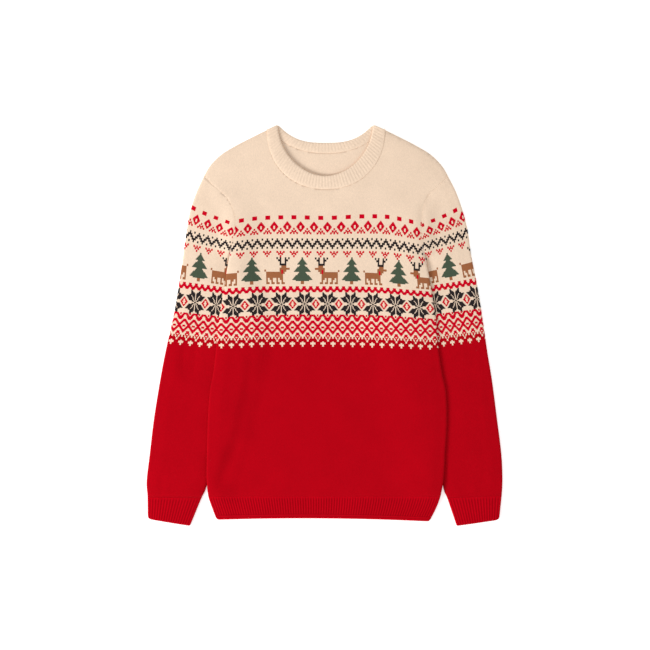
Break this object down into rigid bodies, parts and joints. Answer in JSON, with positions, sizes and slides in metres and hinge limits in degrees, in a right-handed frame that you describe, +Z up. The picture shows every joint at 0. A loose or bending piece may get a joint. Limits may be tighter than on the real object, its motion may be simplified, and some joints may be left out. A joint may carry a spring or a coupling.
{
  "type": "christmas sweater",
  "caption": "Crew-neck knitted pullover laid flat, front up: set-in sleeves tucked under the body, ribbed neck, cuffs and hem, and a patterned band across chest and sleeves",
  "frame": {"origin": "middle of the footprint, on the surface that the sweater lies on", "axes": "+Z up through the front of the sweater, +Y from hem to neck, +X towards the wearer's left sleeve"},
  "size_m": [0.6236, 0.7012, 0.0124],
  "materials": {
    "patterned_knit": "soft wool-blend jersey, cream yoke with a stranded pattern band above plain red, matt with a light nap",
    "red_rib_knit": "soft wool-blend 1x1 rib, matt",
    "cream_rib_knit": "soft wool-blend 1x1 rib, matt"
  },
  "bodies": {
    "root": {"front_panel": "patterned_knit", "back_panel": "patterned_knit", "right_sleeve": "patterned_knit", "left_sleeve": "patterned_knit", "front_hem_rib": "red_rib_knit", "back_hem_rib": "red_rib_knit", "right_cuff_rib": "red_rib_knit", "left_cuff_rib": "red_rib_knit", "front_neckband": "cream_rib_knit", "back_neckband": "cream_rib_knit"}
  },
  "joints": []
}
